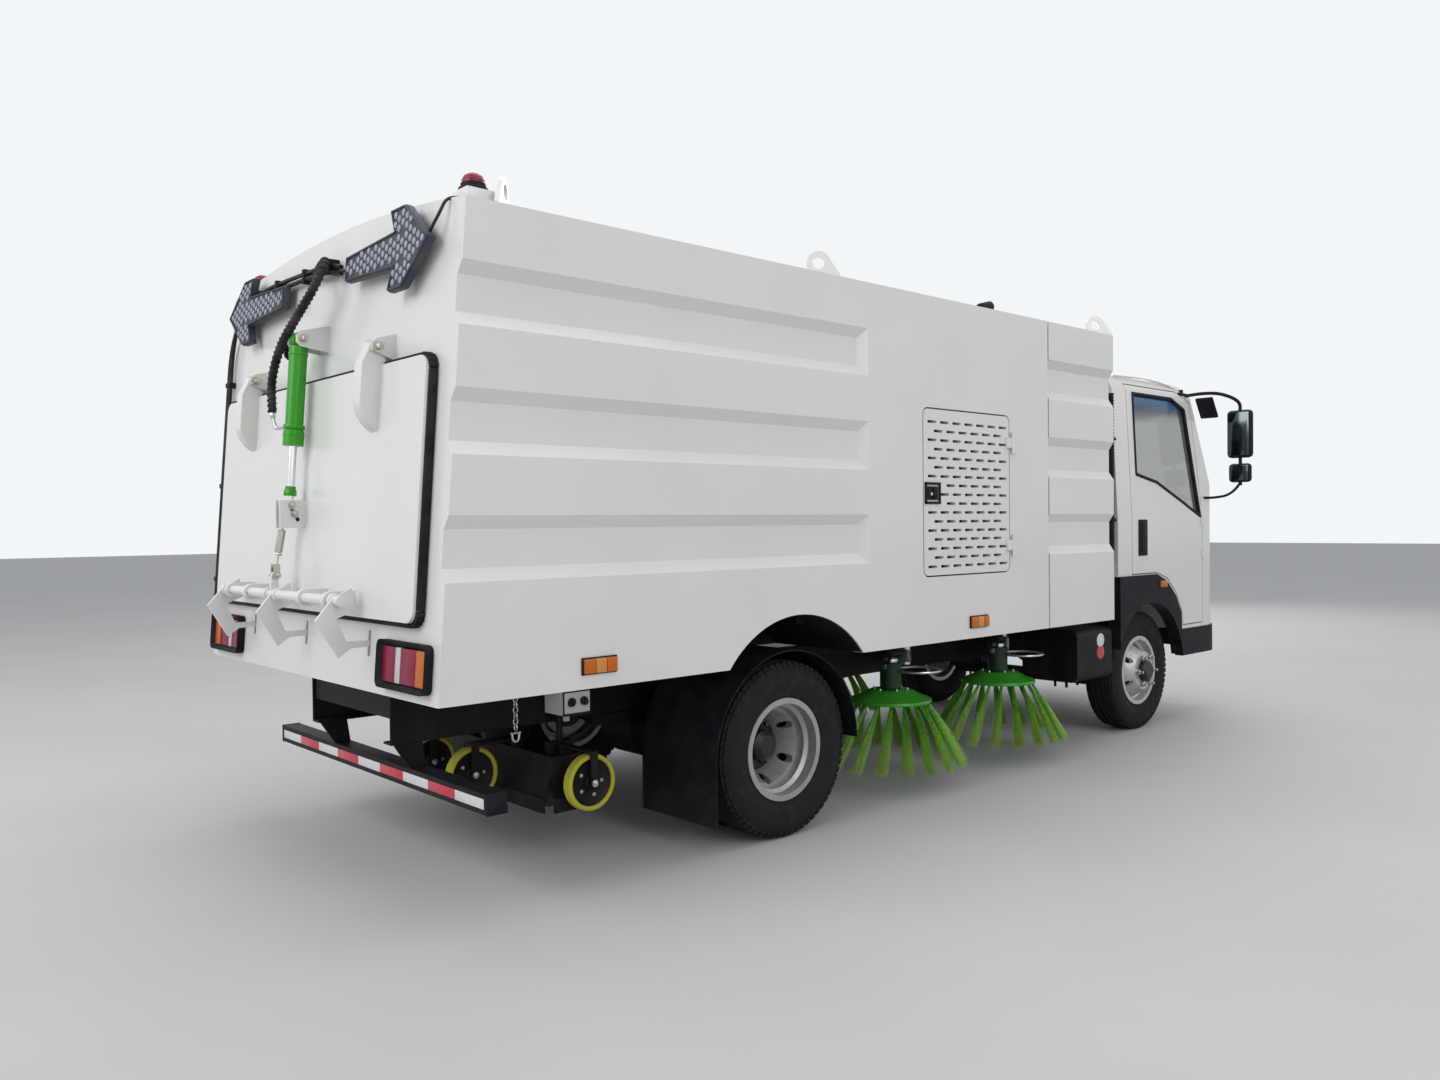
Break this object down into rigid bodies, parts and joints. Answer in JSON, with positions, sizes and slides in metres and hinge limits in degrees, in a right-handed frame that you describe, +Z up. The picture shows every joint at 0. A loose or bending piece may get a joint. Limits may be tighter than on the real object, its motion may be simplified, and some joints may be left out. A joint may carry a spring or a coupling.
{
  "type": "street sweeper truck",
  "caption": "Two-axle sweeper truck: cab, ribbed hopper body with a lifting tail door, side brushes and a suction nozzle.",
  "frame": {"origin": "on the ground, in the middle of the overall length and width", "axes": "+X forward, towards the cab; +Y to the vehicle's left; +Z up"},
  "size_m": [6.3586, 2.44, 2.568],
  "materials": {
    "body_white": "satin warm white paint",
    "machine_green": "gloss grass green paint",
    "frame_black": "dull black chassis paint",
    "steel": "bare zinc-plated steel",
    "rod_chrome": "hard chrome",
    "rim_silver": "silver paint",
    "tyre": "matt tyre rubber",
    "glass": "green-tinted glass",
    "lamp_red": "red lamp plastic",
    "lamp_amber": "amber lamp plastic",
    "lamp_clear": "clear lamp plastic",
    "plastic_black": "textured black plastic",
    "plastic_grey": "grey cab trim",
    "seat_fabric": "dark grey woven fabric",
    "wheel_yellow": "yellow solid rubber",
    "bristle": "green brush bristles",
    "engine_iron": "cast engine block",
    "guard_rubber": "black moulded guard"
  },
  "bodies": {
    "chassis": {"frame_rails": "frame_black", "frame_crossmembers": "frame_black", "front_axle": "frame_black", "rear_axle": "frame_black", "leaf_springs": "frame_black", "engine_blocks": "engine_iron", "chassis_boxes": "frame_black", "hopper_body": "body_white", "water_tank": "body_white", "tail_lamps": "lamp_red", "warning_lamps": "lamp_red", "marker_lamps": "lamp_amber", "rear_bumper": "frame_black", "mudguards": "guard_rubber", "cab_shell": "body_white", "cab_glass": "glass", "front_bumper": "plastic_black", "headlamps": "lamp_clear", "seats": "seat_fabric", "dashboard": "plastic_grey", "mirrors": "plastic_black", "air_intake": "plastic_black"},
    "cab_door_left": {"cab_door_left": "body_white", "door_glass_left": "glass"},
    "cab_door_right": {"cab_door_right": "body_white", "door_glass_right": "glass"},
    "vent_door_left": {"vent_door_left": "body_white"},
    "vent_door_right": {"vent_door_right": "body_white"},
    "tail_door": {"tail_door": "body_white"},
    "lock_shaft": {"lock_shaft": "body_white"},
    "lock_link": {"lock_link": "steel"},
    "cylinder_barrel": {"cylinder_barrel": "machine_green"},
    "cylinder_rod": {"cylinder_rod": "rod_chrome"},
    "suction_nozzle": {"suction_nozzle": "frame_black"},
    "knuckle_left": {"knuckle_left": "steel"},
    "knuckle_right": {"knuckle_right": "steel"},
    "front_wheel_left": {"front_rim_left": "rim_silver", "front_tyre_left": "tyre"},
    "front_wheel_right": {"front_rim_right": "rim_silver", "front_tyre_right": "tyre"},
    "rear_wheels_left": {"rear_rims_left": "rim_silver", "rear_tyres_left": "tyre"},
    "rear_wheels_right": {"rear_rims_right": "rim_silver", "rear_tyres_right": "tyre"},
    "brush_knuckle_rear_left": {"brush_knuckle_rear_left": "steel"},
    "brush_arm_rear_left": {"brush_arm_rear_left": "machine_green"},
    "brush_rear_left": {"brush_rear_left": "bristle"},
    "brush_knuckle_rear_right": {"brush_knuckle_rear_right": "steel"},
    "brush_arm_rear_right": {"brush_arm_rear_right": "machine_green"},
    "brush_rear_right": {"brush_rear_right": "bristle"},
    "brush_knuckle_front_left": {"brush_knuckle_front_left": "steel"},
    "brush_arm_front_left": {"brush_arm_front_left": "machine_green"},
    "brush_front_left": {"brush_front_left": "bristle"},
    "brush_knuckle_front_right": {"brush_knuckle_front_right": "steel"},
    "brush_arm_front_right": {"brush_arm_front_right": "machine_green"},
    "brush_front_right": {"brush_front_right": "bristle"},
    "nozzle_wheel_front_left": {"nozzle_wheel_front_left": "wheel_yellow"},
    "nozzle_wheel_front_right": {"nozzle_wheel_front_right": "wheel_yellow"},
    "nozzle_wheel_rear_left": {"nozzle_wheel_rear_left": "wheel_yellow"},
    "nozzle_wheel_rear_right": {"nozzle_wheel_rear_right": "wheel_yellow"}
  },
  "joints": [
    {"name": "cab_door_left_swing", "type": "hinge", "parent": "chassis", "child": "cab_door_left", "pos_m": [2.8395, 0.94, 1.225], "axis": [0, 0, -1], "range_deg": [0, 65]},
    {"name": "vent_door_left_swing", "type": "hinge", "parent": "chassis", "child": "vent_door_left", "pos_m": [0.2715, 1.102, 1.4915], "axis": [0, 0, -1], "range_deg": [0, 110]},
    {"name": "cab_door_right_swing", "type": "hinge", "parent": "chassis", "child": "cab_door_right", "pos_m": [2.8395, -0.94, 1.225], "axis": [0, 0, 1], "range_deg": [0, 65]},
    {"name": "vent_door_right_swing", "type": "hinge", "parent": "chassis", "child": "vent_door_right", "pos_m": [0.2715, -1.102, 1.4915], "axis": [0, 0, 1], "range_deg": [0, 110]},
    {"name": "tail_door_lift", "type": "hinge", "parent": "chassis", "child": "tail_door", "pos_m": [-2.97142, 0, 1.984], "axis": [0, 1, 0], "range_deg": [0, 60]},
    {"name": "lock_shaft_turn", "type": "hinge", "parent": "tail_door", "child": "lock_shaft", "pos_m": [-3.09933, 0, 1.095], "axis": [0, 1, 0], "range_deg": [0, 30]},
    {"name": "lock_link_swing", "type": "hinge", "parent": "lock_shaft", "child": "lock_link", "pos_m": [-3.09433, 0.038, 1.168], "axis": [0, 1, 0], "range_deg": [-30, 0]},
    {"name": "cylinder_swing", "type": "hinge", "parent": "chassis", "child": "cylinder_barrel", "pos_m": [-2.99878, 0, 2.087], "axis": [0, 1, 0], "range_deg": [-2, 55]},
    {"name": "cylinder_stroke", "type": "slide", "parent": "cylinder_barrel", "child": "cylinder_rod", "axis": [0.0739, 0, 0.9973], "range_m": [-0.002, 0.09631]},
    {"name": "brush_rear_left_swing", "type": "hinge", "parent": "chassis", "child": "brush_knuckle_rear_left", "pos_m": [0.1995, 0.445, 0.61], "axis": [0, 0, -1], "range_deg": [0, 25]},
    {"name": "brush_rear_left_lower", "type": "hinge", "parent": "brush_knuckle_rear_left", "child": "brush_arm_rear_left", "pos_m": [0.13868, 0.47965, 0.61], "axis": [-0.4951, -0.8689, 0], "range_deg": [0, 7]},
    {"name": "brush_rear_left_spin", "type": "hinge", "parent": "brush_arm_rear_left", "child": "brush_rear_left", "pos_m": [-0.2305, 0.69, 0.46], "axis": [0, 0, 1], "continuous": true},
    {"name": "brush_rear_right_swing", "type": "hinge", "parent": "chassis", "child": "brush_knuckle_rear_right", "pos_m": [0.1995, -0.445, 0.61], "axis": [0, 0, 1], "range_deg": [0, 25]},
    {"name": "brush_rear_right_lower", "type": "hinge", "parent": "brush_knuckle_rear_right", "child": "brush_arm_rear_right", "pos_m": [0.13868, -0.47965, 0.61], "axis": [0.4951, -0.8689, 0], "range_deg": [0, 7]},
    {"name": "brush_rear_right_spin", "type": "hinge", "parent": "brush_arm_rear_right", "child": "brush_rear_right", "pos_m": [-0.2305, -0.69, 0.46], "axis": [0, 0, 1], "continuous": true},
    {"name": "brush_front_left_swing", "type": "hinge", "parent": "chassis", "child": "brush_knuckle_front_left", "pos_m": [1.1695, 0.445, 0.61], "axis": [0, 0, -1], "range_deg": [0, 25]},
    {"name": "brush_front_left_lower", "type": "hinge", "parent": "brush_knuckle_front_left", "child": "brush_arm_front_left", "pos_m": [1.10868, 0.47965, 0.61], "axis": [-0.4951, -0.8689, 0], "range_deg": [0, 7]},
    {"name": "brush_front_left_spin", "type": "hinge", "parent": "brush_arm_front_left", "child": "brush_front_left", "pos_m": [0.7395, 0.69, 0.46], "axis": [0, 0, 1], "continuous": true},
    {"name": "brush_front_right_swing", "type": "hinge", "parent": "chassis", "child": "brush_knuckle_front_right", "pos_m": [1.1695, -0.445, 0.61], "axis": [0, 0, 1], "range_deg": [0, 25]},
    {"name": "brush_front_right_lower", "type": "hinge", "parent": "brush_knuckle_front_right", "child": "brush_arm_front_right", "pos_m": [1.10868, -0.47965, 0.61], "axis": [0.4951, -0.8689, 0], "range_deg": [0, 7]},
    {"name": "brush_front_right_spin", "type": "hinge", "parent": "brush_arm_front_right", "child": "brush_front_right", "pos_m": [0.7395, -0.69, 0.46], "axis": [0, 0, 1], "continuous": true},
    {"name": "nozzle_lower", "type": "slide", "parent": "chassis", "child": "suction_nozzle", "axis": [0, 0, -1], "range_m": [0, 0.19]},
    {"name": "nozzle_wheel_front_left_roll", "type": "hinge", "parent": "suction_nozzle", "child": "nozzle_wheel_front_left", "pos_m": [-2.1005, 0.65, 0.312], "axis": [0, 1, 0], "continuous": true},
    {"name": "nozzle_wheel_front_right_roll", "type": "hinge", "parent": "suction_nozzle", "child": "nozzle_wheel_front_right", "pos_m": [-2.1005, -0.65, 0.312], "axis": [0, 1, 0], "continuous": true},
    {"name": "nozzle_wheel_rear_left_roll", "type": "hinge", "parent": "suction_nozzle", "child": "nozzle_wheel_rear_left", "pos_m": [-2.3705, 0.18, 0.312], "axis": [0, 1, 0], "continuous": true},
    {"name": "nozzle_wheel_rear_right_roll", "type": "hinge", "parent": "suction_nozzle", "child": "nozzle_wheel_rear_right", "pos_m": [-2.3705, -0.18, 0.312], "axis": [0, 1, 0], "continuous": true},
    {"name": "steer_left", "type": "hinge", "parent": "chassis", "child": "knuckle_left", "pos_m": [2.0795, 0.65, 0.38], "axis": [0, 0, 1], "range_deg": [-35, 35]},
    {"name": "front_wheel_left_roll", "type": "hinge", "parent": "knuckle_left", "child": "front_wheel_left", "pos_m": [2.0795, 0.777, 0.38], "axis": [0, 1, 0], "continuous": true},
    {"name": "rear_wheels_left_roll", "type": "hinge", "parent": "chassis", "child": "rear_wheels_left", "pos_m": [-1.3205, 0.7925, 0.38], "axis": [0, 1, 0], "continuous": true},
    {"name": "steer_right", "type": "hinge", "parent": "chassis", "child": "knuckle_right", "pos_m": [2.0795, -0.65, 0.38], "axis": [0, 0, 1], "range_deg": [-35, 35]},
    {"name": "front_wheel_right_roll", "type": "hinge", "parent": "knuckle_right", "child": "front_wheel_right", "pos_m": [2.0795, -0.777, 0.38], "axis": [0, 1, 0], "continuous": true},
    {"name": "rear_wheels_right_roll", "type": "hinge", "parent": "chassis", "child": "rear_wheels_right", "pos_m": [-1.3205, -0.7925, 0.38], "axis": [0, 1, 0], "continuous": true}
  ],
  "couplings": [
    {"joint": "lock_link_swing", "follows": "lock_shaft_turn", "ratio": -1},
    {"joint": "cylinder_swing", "follows": "tail_door_lift", "ratio": 0.8834},
    {"joint": "cylinder_stroke", "follows": "tail_door_lift", "m_per_rad": 0.0729},
    {"joint": "steer_right", "follows": "steer_left", "ratio": 1}
  ]
}
